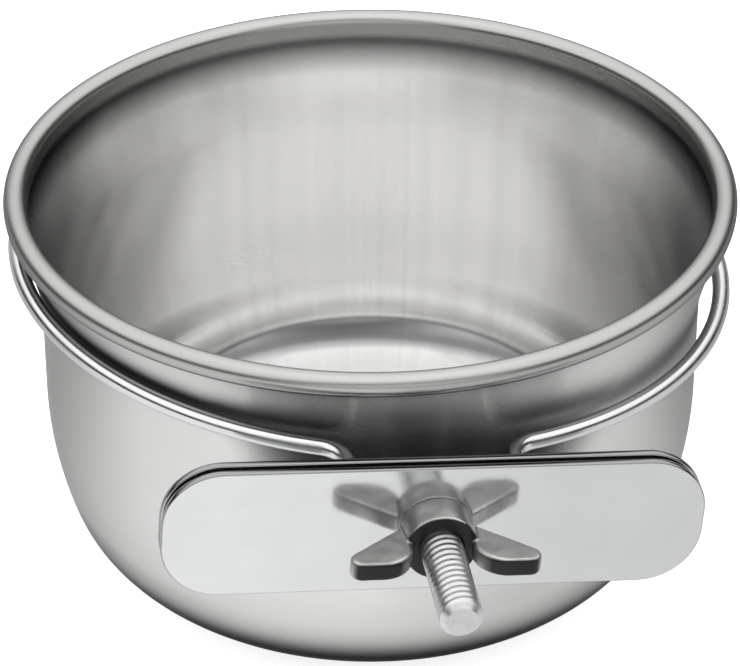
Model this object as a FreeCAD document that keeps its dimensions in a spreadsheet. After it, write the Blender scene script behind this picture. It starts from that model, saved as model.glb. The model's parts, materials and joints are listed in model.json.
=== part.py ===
"""Bolt-on seed cup: a drawn steel cup in a wire ring, held by a two-plate clamp.

Millimetres. +Z is up and the origin is the middle of the cup's foot. The bolt
points along -Y, away from the cup. The holder (ring, back plate, bolt) is drawn
level about the middle of its ring and then leans about the bolt's direction, as
the ring of a loose holder does.
"""
import FreeCAD, Part
import math
import os
import Sketcher

SIZES = [
    # the cup
    ("rim_diameter", "116", "outside of the rolled rim"),
    ("cup_height", "66", "foot to the top of the rim"),
    ("sheet_thickness", "0.7", "the cup's drawn sheet"),
    ("bead_diameter", "3.7", "the rolled rim, measured across the roll"),
    ("bead_sweep", "300", "how far round the sheet is rolled, degrees"),
    ("neck_depth", "4.5", "rim top to the foot of the straight neck"),
    ("flare_height", "16", "height over which the wall widens to the neck"),
    ("flare_step", "2.2", "how far the neck stands out beyond the straight wall"),
    ("belly_height", "30.3", "foot to the start of the straight wall"),
    ("belly_radius", "60", "slow curve below the straight wall"),
    ("corner_radius", "17", "tight curve into the foot"),
    # the ring
    ("wire_diameter", "2.8", "ring wire"),
    ("seat_depth", "9.9", "rim top to the ring where the cup touches it"),
    ("seat_clearance", "0.5", "gap between the seated cup and the wire"),
    ("holder_lean", "4.2", "turn of the holder about the bolt, degrees"),
    ("leg_spacing", "24.8", "between the two wire ends"),
    ("bend_radius", "5", "wire bends at the two ends"),
    # the clamp
    ("plate_standoff", "5.6", "middle of the ring wire to the back of the back plate"),
    ("plate_length", "80.8", "both plates"),
    ("plate_height", "21.5", "both plates"),
    ("plate_thickness", "1.2", "both plates"),
    ("plate_corner", "9", "rounded corners of the plates"),
    ("plate_edge", "0.3", "broken edges on the outer faces"),
    ("plate_drop", "7.5", "ring wire to the middle of the plates"),
    ("bar_gap", "1", "gap between the plates at rest"),
    ("weld_leg", "1.8", "weld fillet round each wire end"),
    # the bolt
    ("bolt_diameter", "6.35", "over the thread"),
    ("bolt_length", "25.8", "back of the back plate to the tip of the bolt"),
    ("bolt_chamfer", "0.9", "bevel at the tip"),
    ("head_diameter", "14.4", "domed head behind the back plate"),
    ("head_height", "3.4", "domed head"),
    ("head_rim", "0.6", "straight edge of the domed head"),
    ("neck_clearance", "0.1", "square neck in its square hole, each side"),
    ("bolt_hole", "7", "round hole in the clamp plate"),
    # the wing nut
    ("nut_clearance", "0.06", "radial clearance of the nut on the bolt"),
    ("nut_base", "11.4", "diameter of the nut where it meets the plate"),
    ("nut_crown", "10.9", "diameter of the nut at its outer end"),
    ("nut_height", "5", "hub of the nut"),
    ("nut_round", "0.3", "rounded edge of the crown"),
    ("wing_span", "28", "tip to tip"),
    ("wing_height", "10.4", "plate to the outer edge of the wings"),
    ("wing_rise", "0.4", "plate to the foot of each wing"),
    ("wing_sink", "0.75", "how far the wings run in on the flat of the crown"),
    ("leaf_radius", "5", "round inner corner of a wing, beside the bolt"),
    ("wing_thickness", "3", "across the flat of a wing"),
    ("wing_tip", "1.8", "rounded tip of a wing"),
    ("wing_edge", "0.5", "rounded edges of the wings"),
]

FITS = [
    ("neck_radius", "=Sizes.rim_diameter / 2 - Sizes.bead_diameter + Sizes.sheet_thickness"),
    ("wall_radius", "=neck_radius - Sizes.flare_step"),
    ("bead_radius", "=Sizes.bead_diameter / 2"),
    ("bead_offset", "=Sizes.rim_diameter / 2 - bead_radius"),
    ("bead_level", "=Sizes.cup_height - bead_radius"),
    ("flare_top", "=Sizes.cup_height - Sizes.neck_depth"),
    ("flare_bottom", "=flare_top - Sizes.flare_height"),
    ("flare_arc", "=(Sizes.flare_height ^ 2 + Sizes.flare_step ^ 2) / (4 * Sizes.flare_step)"),
    ("seat_dip", "=Sizes.seat_depth - Sizes.neck_depth"),
    ("seat_radius", "=neck_radius - flare_arc + sqrt(flare_arc ^ 2 - seat_dip ^ 2)"),
    ("wire_radius", "=Sizes.wire_diameter / 2"),
    ("ring_radius", "=seat_radius + Sizes.seat_clearance + wire_radius"),
    ("ring_level", "=Sizes.cup_height - Sizes.seat_depth - ring_radius * sin(Sizes.holder_lean)"),
    ("leg_offset", "=Sizes.leg_spacing / 2"),
    ("half_plate", "=Sizes.plate_length / 2"),
    ("plate_rise", "=Sizes.plate_height / 2"),
    ("plate_reach", "=ring_radius + Sizes.plate_standoff"),
    ("plate_front", "=plate_reach + Sizes.plate_thickness"),
    ("clamp_back", "=plate_front + Sizes.bar_gap"),
    ("nut_seat", "=clamp_back + Sizes.plate_thickness"),
    ("bolt_reach", "=plate_reach + Sizes.bolt_length"),
    ("bolt_radius", "=Sizes.bolt_diameter / 2"),
    ("square_hole", "=Sizes.bolt_diameter + 2 * Sizes.neck_clearance"),
    ("nut_bore", "=Sizes.bolt_diameter + 2 * Sizes.nut_clearance"),
    ("wing_inner", "=Sizes.nut_crown / 2 - Sizes.nut_round - Sizes.wing_sink"),
]

doc = FreeCAD.newDocument("SeedCup")


def fill_sheet(name, rows):
    """Make a spreadsheet of named cells: name, value and what it measures."""
    sheet = doc.addObject("Spreadsheet::Sheet", name)
    for number, (alias, value, *note) in enumerate(rows, 1):
        sheet.set("A%d" % number, alias)
        sheet.set("B%d" % number, value)
        sheet.setAlias("B%d" % number, alias)
        sheet.set("C%d" % number, " ".join(note))
    doc.recompute()
    return sheet


sizes = fill_sheet("Sizes", SIZES)
fits = fill_sheet("Fits", FITS)
DRIVING = [row[0] for row in SIZES]


def size(name):
    """A driving size or a fit, as a plain number."""
    sheet = sizes if name in DRIVING else fits
    return float(sheet.get(name))


def cell(name):
    """The same value as an expression."""
    return ("Sizes." if name in DRIVING else "Fits.") + name


def origin_part(body, role):
    """One plane or axis of a body's own origin."""
    for feature in body.Origin.OriginFeatures:
        if feature.Role == role:
            return feature
    raise ValueError("no %s in %s" % (role, body.Name))


class Outline:
    """A sketch on one of the body's planes, drawn from lines and arcs in order."""

    def __init__(self, body, name, role, lift=None):
        self.sketch = body.newObject("Sketcher::SketchObject", name)
        self.sketch.AttachmentSupport = (origin_part(body, role), [""])
        self.sketch.MapMode = "FlatFace"
        if lift:
            self.sketch.setExpression(".AttachmentOffset.Base.z", lift)

    def line(self, start, end, guide=False):
        ends = [FreeCAD.Vector(*point, 0) for point in (start, end)]
        return self.sketch.addGeometry(Part.LineSegment(*ends), guide)

    def arc(self, centre, radius, first, last):
        """An arc that runs anticlockwise, its angles in degrees."""
        circle = Part.Circle(FreeCAD.Vector(*centre, 0), FreeCAD.Vector(0, 0, 1), radius)
        shape = Part.ArcOfCircle(circle, math.radians(first), math.radians(last))
        return self.sketch.addGeometry(shape)

    def circle(self, centre, radius):
        shape = Part.Circle(FreeCAD.Vector(*centre, 0), FreeCAD.Vector(0, 0, 1), radius)
        return self.sketch.addGeometry(shape)

    def rule(self, kind, *where):
        return self.sketch.addConstraint(Sketcher.Constraint(kind, *where))

    def chain(self, *joints):
        """Join ends: each joint is kind, element, end, element, end."""
        for joint in joints:
            self.rule(*joint)

    def measure(self, kind, where, expression, value):
        """A dimension bound to the sheets."""
        index = self.rule(kind, *where, value)
        self.sketch.setExpression("Constraints[%d]" % index, expression)
        return index


START, END, CENTRE = 1, 2, 3
ORIGIN = (-1, 1)
ACROSS, UPRIGHT = -1, -2


def new_body(label, tip_lean=False):
    """A body named for its piece; the holder's pieces share one placement."""
    body = doc.addObject("PartDesign::Body", label)
    body.Label = label
    if tip_lean:
        lean = FreeCAD.Rotation(FreeCAD.Vector(0, 1, 0), size("holder_lean"))
        body.Placement = FreeCAD.Placement(FreeCAD.Vector(0, 0, size("ring_level")), lean)
        body.setExpression(".Placement.Base.z", cell("ring_level"))
        body.setExpression(".Placement.Rotation.Angle", cell("holder_lean") + " * 1 deg")
    return body


def feature(body, kind, name, **settings):
    """One PartDesign feature with its plain settings."""
    made = body.newObject("PartDesign::" + kind, name)
    for key, value in settings.items():
        setattr(made, key, value)
    return made


def grow(body, kind, name, outline, **settings):
    """A feature made from an outline; it has to change the body's volume."""
    before = body.Shape.Volume if body.Tip else 0
    doc.recompute()
    if "Invalid" in outline.sketch.State or not outline.sketch.FullyConstrained:
        raise ValueError("%s isn't fully constrained" % outline.sketch.Name)
    made = feature(body, kind, name, Profile=outline.sketch, **settings)
    outline.sketch.Visibility = False
    doc.recompute()
    body.Tip = made
    if abs(body.Shape.Volume - before) < 1e-6:
        raise ValueError("%s changed nothing in %s" % (name, body.Label))
    return made


def faces_at(shape, test):
    """Names of the faces whose centre passes the test."""
    return ["Face%d" % number for number, face in enumerate(shape.Faces, 1)
            if test(face.CenterOfMass, face)]


def touch(start, centre, radius, side):
    """Where a line from start touches a circle: the angle on it, and the point."""
    run = centre[0] - start[0], centre[1] - start[1]
    slope = math.atan2(run[1], run[0]) + side * math.asin(radius / math.hypot(*run))
    angle = slope + side * math.pi / 2
    point = (centre[0] + radius * math.cos(angle), centre[1] + radius * math.sin(angle))
    return math.degrees(angle), point


def seed_cup():
    """Drawn sheet: flat foot, two-radius belly, straight wall, flared neck, rolled rim."""
    body = new_body("seed_cup")
    half = Outline(body, "cup_half_section", "XZ_Plane")
    corner, belly, flare = size("corner_radius"), size("belly_radius"), size("flare_arc")
    wall, neck = size("wall_radius"), size("neck_radius")
    low, top = size("flare_bottom"), size("flare_top")
    turn = math.asin((size("belly_height") - corner) / (belly - corner))
    foot = wall - belly + (belly - corner) * math.cos(turn)
    sway = math.degrees(math.asin(size("flare_height") / 2 / flare))
    turn = math.degrees(turn)
    base = half.line((0, 0), (foot, 0))
    tight = half.arc((foot, corner), corner, -90, -turn)
    slow = half.arc((wall - belly, size("belly_height")), belly, -turn, 0)
    side = half.line((wall, size("belly_height")), (wall, low))
    out = half.arc((wall + flare, low), flare, 180 - sway, 180)
    back = half.arc((neck - flare, top), flare, -sway, 0)
    throat = half.line((neck, top), (neck, size("bead_level")))
    lid = half.line((neck, size("bead_level")), (0, size("bead_level")))
    axis = half.line((0, size("bead_level")), (0, 0))
    half.chain(
        ("Coincident", base, START, *ORIGIN),
        ("Horizontal", base),
        ("Tangent", base, END, tight, START),
        ("Tangent", tight, END, slow, START),
        ("Tangent", slow, END, side, START),
        ("Vertical", side),
        ("Tangent", side, END, out, END),
        ("Tangent", out, START, back, START),
        ("Equal", out, back),
        ("Tangent", back, END, throat, START),
        ("Vertical", throat),
        ("Coincident", throat, END, lid, START),
        ("Horizontal", lid),
        ("Coincident", lid, END, axis, START),
        ("Coincident", axis, END, base, START),
        ("Vertical", axis),
    )
    half.measure("Radius", (tight,), cell("corner_radius"), corner)
    half.measure("Radius", (slow,), cell("belly_radius"), belly)
    half.measure("DistanceX", (*ORIGIN, side, START), cell("wall_radius"), wall)
    half.measure("DistanceY", (*ORIGIN, side, START), cell("belly_height"), size("belly_height"))
    half.measure("DistanceY", (*ORIGIN, side, END), cell("flare_bottom"), low)
    half.measure("DistanceY", (*ORIGIN, throat, START), cell("flare_top"), top)
    half.measure("DistanceX", (*ORIGIN, throat, START), cell("neck_radius"), neck)
    half.measure("DistanceY", (*ORIGIN, throat, END), cell("bead_level"), size("bead_level"))
    drawn = grow(body, "Revolution", "drawn_form", half,
                 ReferenceAxis=(half.sketch, ["V_Axis"]), Angle=360.0)

    mouth = faces_at(drawn.Shape, lambda at, face: abs(at.z - size("bead_level")) < 1e-4)
    wall_feature = feature(body, "Thickness", "sheet_wall", Base=(drawn, mouth),
                           Reversed=True, Mode=0, Join=0)
    wall_feature.setExpression("Value", cell("sheet_thickness"))
    doc.recompute()
    body.Tip = wall_feature

    roll = Outline(body, "rim_roll_section", "XZ_Plane")
    middle = (size("bead_offset"), size("bead_level"))
    outer, sheet = size("bead_radius"), size("sheet_thickness")
    inner = outer - sheet
    free_end = 180 - size("bead_sweep")

    def on_roll(radius, angle):
        rad = math.radians(angle)
        return (middle[0] + radius * math.cos(rad), middle[1] + radius * math.sin(rad))

    skin = roll.arc(middle, outer, free_end, 180)
    lining = roll.arc(middle, inner, free_end, 180)
    root = roll.line(on_roll(outer, 180), on_roll(inner, 180))
    lip = roll.line(on_roll(inner, free_end), on_roll(outer, free_end))
    spoke = roll.line(middle, on_roll(inner, free_end), guide=True)
    roll.chain(
        ("Coincident", skin, CENTRE, lining, CENTRE),
        ("Coincident", skin, END, root, START),
        ("Coincident", root, END, lining, END),
        ("Horizontal", root),
        ("Coincident", lining, START, lip, START),
        ("Coincident", lip, END, skin, START),
        ("Coincident", spoke, START, skin, CENTRE),
        ("Coincident", spoke, END, lip, START),
        ("Parallel", spoke, lip),
        ("PointOnObject", skin, CENTRE, root),
    )
    roll.measure("DistanceX", (*ORIGIN, skin, CENTRE), cell("bead_offset"), middle[0])
    roll.measure("DistanceY", (*ORIGIN, skin, CENTRE), cell("bead_level"), middle[1])
    roll.measure("Radius", (skin,), cell("bead_radius"), outer)
    roll.measure("Radius", (lining,), cell("bead_radius") + " - " + cell("sheet_thickness"), inner)
    roll.measure("Angle", (spoke,), "(180 - %s) * 1 deg" % cell("bead_sweep"),
                 math.radians(free_end))
    grow(body, "Revolution", "rolled_rim", roll,
         ReferenceAxis=(roll.sketch, ["V_Axis"]), Angle=360.0)
    return body


def holder_ring():
    """One wire: most of a circle, both ends bent forward to the back plate."""
    body = new_body("holder_ring", tip_lean=True)
    route = Outline(body, "wire_route", "XY_Plane")
    ring, bend, leg = size("ring_radius"), size("bend_radius"), size("leg_offset")
    aside = leg + bend
    ahead = math.sqrt((ring + bend) ** 2 - aside ** 2)
    open_angle = math.degrees(math.asin(aside / (ring + bend)))
    left_leg = route.line((-leg, -size("plate_reach")), (-leg, -ahead))
    left_bend = route.arc((-aside, -ahead), bend, 0, 90 - open_angle)
    hoop = route.arc((0, 0), ring, -90 + open_angle, 270 - open_angle)
    right_bend = route.arc((aside, -ahead), bend, 90 + open_angle, 180)
    right_leg = route.line((leg, -ahead), (leg, -size("plate_reach")))
    route.chain(
        ("Vertical", left_leg),
        ("Tangent", left_leg, END, left_bend, START),
        ("Tangent", left_bend, END, hoop, END),
        ("Tangent", hoop, START, right_bend, START),
        ("Tangent", right_bend, END, right_leg, START),
        ("Vertical", right_leg),
        ("Coincident", hoop, CENTRE, *ORIGIN),
        ("Equal", left_bend, right_bend),
        ("Symmetric", left_leg, START, right_leg, END, UPRIGHT),
    )
    route.measure("Radius", (hoop,), cell("ring_radius"), ring)
    route.measure("Radius", (left_bend,), cell("bend_radius"), bend)
    route.measure("DistanceX", (left_leg, START, right_leg, END), cell("leg_spacing"), 2 * leg)
    route.measure("DistanceY", (left_leg, START, *ORIGIN), cell("plate_reach"),
                  size("plate_reach"))
    section = Outline(body, "wire_section", "XZ_Plane", lift=cell("plate_reach"))
    dot = section.circle((-leg, 0), size("wire_radius"))
    section.measure("Radius", (dot,), cell("wire_radius"), size("wire_radius"))
    section.measure("DistanceX", (dot, CENTRE, *ORIGIN), cell("leg_offset"), leg)
    section.rule("PointOnObject", dot, CENTRE, ACROSS)
    doc.recompute()
    grow(body, "AdditivePipe", "bent_wire", section, Spine=route.sketch)
    route.sketch.Visibility = False
    return body


def plate_outline(body, name, lift):
    """A rectangle with rounded corners, centred on the bolt."""
    drawing = Outline(body, name, "XZ_Plane", lift=lift)
    wide, tall, corner = size("half_plate"), size("plate_rise"), size("plate_corner")
    level = -size("plate_drop")
    straight, across = tall - corner, wide - corner
    top = drawing.line((-across, level + tall), (across, level + tall))
    right = drawing.line((wide, level + straight), (wide, level - straight))
    bottom = drawing.line((across, level - tall), (-across, level - tall))
    left = drawing.line((-wide, level - straight), (-wide, level + straight))
    corners = [
        drawing.arc((across, level + straight), corner, 0, 90),
        drawing.arc((across, level - straight), corner, 270, 360),
        drawing.arc((-across, level - straight), corner, 180, 270),
        drawing.arc((-across, level + straight), corner, 90, 180),
    ]
    sides = [top, right, bottom, left]
    for number, bend in enumerate(corners):
        drawing.rule("Tangent", sides[number], END, bend, END)
        drawing.rule("Tangent", bend, START, sides[(number + 1) % len(sides)], START)
    for bend in corners[1:]:
        drawing.rule("Equal", corners[0], bend)
    drawing.chain(("Vertical", right), ("Horizontal", bottom), ("Vertical", left),
                  ("Symmetric", top, START, top, END, UPRIGHT))
    drawing.measure("Radius", (corners[0],), cell("plate_corner"), corner)
    drawing.measure("DistanceX", (left, START, right, START), cell("plate_length"), 2 * wide)
    drawing.measure("DistanceY", (bottom, START, top, START), cell("plate_height"), 2 * tall)
    drawing.measure("DistanceY", (bottom, START, *ORIGIN),
                    "%s + %s" % (cell("plate_drop"), cell("plate_rise")), tall - level)
    return drawing


def square_outline(body, name, lift, width):
    """A square centred on the bolt; width names its size."""
    drawing = Outline(body, name, "XZ_Plane", lift=lift)
    half, level = size(width) / 2, -size("plate_drop")
    corners = [(-half, level - half), (half, level - half),
               (half, level + half), (-half, level + half)]
    sides = [drawing.line(corners[n - 1], corners[n]) for n in range(4)]
    left, bottom, right, top = sides
    for number, side in enumerate(sides):
        drawing.rule("Coincident", sides[number - 1], END, side, START)
    drawing.chain(("Vertical", left), ("Vertical", right), ("Horizontal", top),
                  ("Symmetric", bottom, START, bottom, END, UPRIGHT))
    drawing.measure("DistanceX", (bottom, START, bottom, END), cell(width), 2 * half)
    drawing.measure("DistanceY", (right, START, right, END), cell(width), 2 * half)
    drawing.measure("DistanceY", (bottom, START, *ORIGIN),
                    "%s + %s / 2" % (cell("plate_drop"), cell(width)), half - level)
    return drawing


def soften(body, name, chosen, radius):
    """Round the chosen edges of the body as it stands."""
    edges = ["Edge%d" % number for number, edge in enumerate(body.Tip.Shape.Edges, 1)
             if chosen(edge)]
    made = feature(body, "Fillet", name, Base=(body.Tip, edges))
    made.setExpression("Radius", cell(radius))
    doc.recompute()
    if "Invalid" in made.State:
        raise ValueError("%s failed in %s" % (name, body.Label))
    body.Tip = made


def break_front_edges(body, front):
    """Round the long edge of a plate's outer face, whose place is -Y front."""
    def outer(edge):
        box, at = edge.BoundBox, edge.CenterOfMass
        on_face = box.YLength < 1e-6 and abs(box.YMin + front) < 1e-6
        beside = abs(at.x) > size("plate_length") / 4
        return on_face and (beside or abs(at.z + size("plate_drop")) > size("plate_height") / 4)

    soften(body, "broken_edge", outer, "plate_edge")


def back_plate():
    """Plate that carries the ring, with a square hole for the bolt's neck."""
    body = new_body("back_plate", tip_lean=True)
    drawing = plate_outline(body, "plate_outline", cell("plate_reach"))
    pad = grow(body, "Pad", "plate", drawing)
    pad.setExpression("Length", cell("plate_thickness"))
    doc.recompute()
    hole = square_outline(body, "square_hole_outline", cell("plate_front"), "square_hole")
    grow(body, "Pocket", "square_hole", hole, Type="ThroughAll")
    break_front_edges(body, size("plate_front"))
    return body


def clamp_plate():
    """Loose plate with a round hole; the wing nut pushes it towards the back plate."""
    body = new_body("clamp_plate", tip_lean=True)
    drawing = plate_outline(body, "plate_outline", cell("clamp_back"))
    hole = drawing.circle((0, -size("plate_drop")), size("bolt_hole") / 2)
    drawing.rule("PointOnObject", hole, CENTRE, UPRIGHT)
    drawing.measure("DistanceY", (hole, CENTRE, *ORIGIN), cell("plate_drop"), size("plate_drop"))
    drawing.measure("Diameter", (hole,), cell("bolt_hole"), size("bolt_hole"))
    pad = grow(body, "Pad", "plate", drawing)
    pad.setExpression("Length", cell("plate_thickness"))
    doc.recompute()
    break_front_edges(body, size("nut_seat"))
    return body


def clamp_bolt():
    """Carriage bolt: domed head, square neck in the back plate, plain shank, bevelled tip."""
    body = new_body("clamp_bolt", tip_lean=True)
    half = Outline(body, "bolt_half_section", "XY_Plane", lift="-" + cell("plate_drop"))
    reach, tip = size("plate_reach"), size("bolt_reach")
    head, rise, rim = size("head_diameter") / 2, size("head_height"), size("head_rim")
    shank, bevel = size("bolt_radius"), size("bolt_chamfer")
    cap = rise - rim
    dome = (head ** 2 + cap ** 2) / (2 * cap)
    lean = math.degrees(math.asin(head / dome))
    crown = half.arc((0, rise - reach - dome), dome, 90 - lean, 90)
    edge = half.line((head, rim - reach), (head, -reach))
    under = half.line((head, -reach), (shank, -reach))
    side = half.line((shank, -reach), (shank, bevel - tip))
    bevelled = half.line((shank, bevel - tip), (shank - bevel, -tip))
    end = half.line((shank - bevel, -tip), (0, -tip))
    axis = half.line((0, -tip), (0, rise - reach))
    half.chain(
        ("Coincident", crown, START, edge, START),
        ("Vertical", edge),
        ("Coincident", edge, END, under, START),
        ("Horizontal", under),
        ("Coincident", under, END, side, START),
        ("Vertical", side),
        ("Coincident", side, END, bevelled, START),
        ("Coincident", bevelled, END, end, START),
        ("Horizontal", end),
        ("Coincident", end, END, axis, START),
        ("Coincident", axis, END, crown, END),
        ("PointOnObject", axis, START, UPRIGHT),
        ("PointOnObject", crown, END, UPRIGHT),
        ("PointOnObject", crown, CENTRE, UPRIGHT),
    )
    half.measure("DistanceY", (under, START, *ORIGIN), cell("plate_reach"), reach)
    half.measure("DistanceX", (*ORIGIN, under, START), cell("head_diameter") + " / 2", head)
    half.measure("DistanceY", (edge, END, edge, START), cell("head_rim"), rim)
    half.measure("DistanceY", (edge, END, crown, END), cell("head_height"), rise)
    half.measure("DistanceX", (*ORIGIN, side, START), cell("bolt_radius"), shank)
    half.measure("DistanceY", (end, END, *ORIGIN), cell("bolt_reach"), tip)
    half.measure("DistanceY", (bevelled, END, bevelled, START), cell("bolt_chamfer"), bevel)
    half.measure("DistanceX", (bevelled, END, bevelled, START), cell("bolt_chamfer"), bevel)
    grow(body, "Revolution", "head_and_shank", half,
         ReferenceAxis=(half.sketch, ["V_Axis"]), Angle=360.0)
    neck = square_outline(body, "square_neck_outline", cell("plate_reach"), "bolt_diameter")
    pad = grow(body, "Pad", "square_neck", neck)
    pad.setExpression("Length", cell("plate_thickness"))
    doc.recompute()
    return body


def wing_nut():
    """Hub with a rounded crown and two leaf-shaped wings, bored for the bolt."""
    body = new_body("wing_nut", tip_lean=True)
    lift = "-" + cell("plate_drop")
    hub = Outline(body, "hub_half_section", "XY_Plane", lift=lift)
    seat, tall, bend = size("nut_seat"), size("nut_height"), size("nut_round")
    base, crown = size("nut_base") / 2, size("nut_crown") / 2
    foot = hub.line((0, -seat), (base, -seat))
    flank = hub.line((base, -seat), (crown, bend - seat - tall))
    top = hub.line((crown - bend, -seat - tall), (0, -seat - tall))
    soft = hub.arc((crown - bend, bend - seat - tall), bend, -90, 0)
    axis = hub.line((0, -seat - tall), (0, -seat))
    hub.chain(
        ("Coincident", foot, END, flank, START),
        ("Coincident", flank, END, soft, END),
        ("Tangent", soft, START, top, START),
        ("Coincident", top, END, axis, START),
        ("Coincident", axis, END, foot, START),
        ("Horizontal", foot),
        ("Horizontal", top),
        ("PointOnObject", axis, START, UPRIGHT),
        ("PointOnObject", axis, END, UPRIGHT),
        ("Horizontal", soft, END, soft, CENTRE),
    )
    hub.measure("DistanceY", (foot, START, *ORIGIN), cell("nut_seat"), seat)
    hub.measure("DistanceY", (top, END, foot, START), cell("nut_height"), tall)
    hub.measure("DistanceX", (*ORIGIN, foot, END), cell("nut_base") + " / 2", base)
    hub.measure("DistanceX", (*ORIGIN, flank, END), cell("nut_crown") + " / 2", crown)
    hub.measure("Radius", (soft,), cell("nut_round"), bend)
    grow(body, "Revolution", "hub", hub, ReferenceAxis=(hub.sketch, ["V_Axis"]), Angle=360.0)

    wing = Outline(body, "wing_outline", "XY_Plane", lift=lift)
    low, high, sunk = -seat - size("wing_rise"), -seat - size("wing_height"), -seat - tall / 2
    tip, leaf, inward = size("wing_tip"), size("leaf_radius"), size("wing_inner")
    start = size("bolt_radius") + size("nut_clearance")
    middle = (size("wing_span") / 2 - tip, high + tip)
    rear_at, rear_touch = touch((inward, low), middle, tip, 1)
    inner = wing.line((start, sunk), (start, low))
    foot = wing.line((start, low), (inward, low))
    rear = wing.line((inward, low), rear_touch)
    round_tip = wing.arc(middle, tip, 270, 360 + rear_at)
    front = wing.line((middle[0], high), (inward + leaf, high))
    bow = wing.arc((inward + leaf, high + leaf), leaf, 180, 270)
    cheek = wing.line((inward, high + leaf), (inward, sunk))
    under = wing.line((inward, sunk), (start, sunk))
    wing.chain(
        ("Vertical", inner),
        ("Coincident", inner, END, foot, START),
        ("Horizontal", foot),
        ("Coincident", foot, END, rear, START),
        ("Tangent", rear, END, round_tip, END),
        ("Tangent", round_tip, START, front, START),
        ("Horizontal", front),
        ("Tangent", front, END, bow, END),
        ("Tangent", bow, START, cheek, START),
        ("Vertical", cheek),
        ("Coincident", cheek, END, under, START),
        ("Horizontal", under),
        ("Coincident", under, END, inner, START),
    )
    wing.measure("DistanceX", (*ORIGIN, inner, START),
                 "%s + %s" % (cell("bolt_radius"), cell("nut_clearance")), start)
    wing.measure("DistanceX", (*ORIGIN, rear, START), cell("wing_inner"), inward)
    wing.measure("DistanceX", (*ORIGIN, cheek, START), cell("wing_inner"), inward)
    wing.measure("DistanceX", (*ORIGIN, round_tip, CENTRE),
                 "%s / 2 - %s" % (cell("wing_span"), cell("wing_tip")), middle[0])
    wing.measure("DistanceY", (foot, START, *ORIGIN),
                 "%s + %s" % (cell("nut_seat"), cell("wing_rise")), -low)
    wing.measure("DistanceY", (under, START, *ORIGIN),
                 "%s + %s / 2" % (cell("nut_seat"), cell("nut_height")), -sunk)
    wing.measure("DistanceY", (front, START, *ORIGIN),
                 "%s + %s" % (cell("nut_seat"), cell("wing_height")), -high)
    wing.measure("Radius", (round_tip,), cell("wing_tip"), tip)
    wing.measure("Radius", (bow,), cell("leaf_radius"), leaf)
    pad = grow(body, "Pad", "wing", wing, SideType="Symmetric")
    pad.setExpression("Length", cell("wing_thickness"))
    doc.recompute()
    mirror = feature(body, "Mirrored", "second_wing", Originals=[pad],
                     MirrorPlane=(origin_part(body, "YZ_Plane"), [""]))
    body.Tip = mirror
    doc.recompute()

    def wing_rim(edge):
        """The edges round the flat faces of the wings, not where they meet the hub."""
        box, at = edge.BoundBox, edge.CenterOfMass
        level = box.ZLength < 1e-6 and abs(box.ZMin) > 1e-6
        on_face = abs(abs(box.ZMin + size("plate_drop")) - size("wing_thickness") / 2) < 1e-4
        off_hub = abs(at.x) > base or -at.y > seat + tall + 1e-4
        return level and on_face and off_hub

    soften(body, "soft_wing_edges", wing_rim, "wing_edge")

    bore = Outline(body, "bore_outline", "XZ_Plane", lift=cell("nut_seat"))
    hole = bore.circle((0, -size("plate_drop")), size("nut_bore") / 2)
    bore.rule("PointOnObject", hole, CENTRE, UPRIGHT)
    bore.measure("DistanceY", (hole, CENTRE, *ORIGIN), cell("plate_drop"), size("plate_drop"))
    bore.measure("Diameter", (hole,), cell("nut_bore"), size("nut_bore"))
    grow(body, "Pocket", "bore", bore, Type="ThroughAll", Reversed=True)
    return body


def ring_welds():
    """A hollow fillet of weld round each wire end, against the back plate."""
    body = new_body("ring_welds", tip_lean=True)
    bead = Outline(body, "weld_half_section", "XY_Plane")
    wire, leg, reach = size("wire_radius"), size("weld_leg"), size("plate_reach")
    left = size("leg_offset") + wire
    foot = bead.line((left, -reach), (left + leg, -reach))
    hollow = bead.arc((left + leg, leg - reach), leg, 180, 270)
    side = bead.line((left, leg - reach), (left, -reach))
    centre_line = bead.line((size("leg_offset"), -reach), (size("leg_offset"), leg - reach),
                            guide=True)
    bead.chain(
        ("Coincident", foot, END, hollow, END),
        ("Coincident", hollow, START, side, START),
        ("Coincident", side, END, foot, START),
        ("Horizontal", foot),
        ("Vertical", side),
        ("Vertical", hollow, CENTRE, foot, END),
        ("Horizontal", hollow, CENTRE, side, START),
        ("Vertical", centre_line),
        ("Horizontal", centre_line, START, foot, START),
        ("Horizontal", centre_line, END, side, START),
    )
    bead.measure("Radius", (hollow,), cell("weld_leg"), leg)
    bead.measure("DistanceY", (foot, START, *ORIGIN), cell("plate_reach"), reach)
    bead.measure("DistanceX", (*ORIGIN, centre_line, START), cell("leg_offset"),
                 size("leg_offset"))
    bead.measure("DistanceX", (centre_line, START, foot, START), cell("wire_radius"), wire)
    weld = grow(body, "Revolution", "weld", bead, ReferenceAxis=(bead.sketch, ["Axis0"]),
                Angle=360.0)
    pair = feature(body, "Mirrored", "second_weld", Originals=[weld],
                   MirrorPlane=(origin_part(body, "YZ_Plane"), [""]))
    body.Tip = pair
    doc.recompute()
    return body


def check_document():
    """Every object has to be computed, and no sketch left loose."""
    for item in doc.Objects:
        if "Invalid" in item.State or "Error" in item.State:
            raise RuntimeError("%s is %s" % (item.Name, item.State))


def write(bodies):
    """One STEP file for each piece."""
    os.makedirs("parts", exist_ok=True)
    for body in bodies:
        if body.Shape.isNull() or not body.Shape.isValid():
            raise RuntimeError("%s has no valid shape" % body.Label)
    for body in bodies:
        body.Shape.exportStep("parts/%s.step" % body.Label)
        print("%-12s %2d solid %9.1f mm3" % (body.Label, len(body.Shape.Solids),
                                            body.Shape.Volume))


pieces = [seed_cup(), holder_ring(), back_plate(), ring_welds(), clamp_bolt(), clamp_plate(),
          wing_nut()]
doc.recompute()
check_document()
write(pieces)
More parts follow.
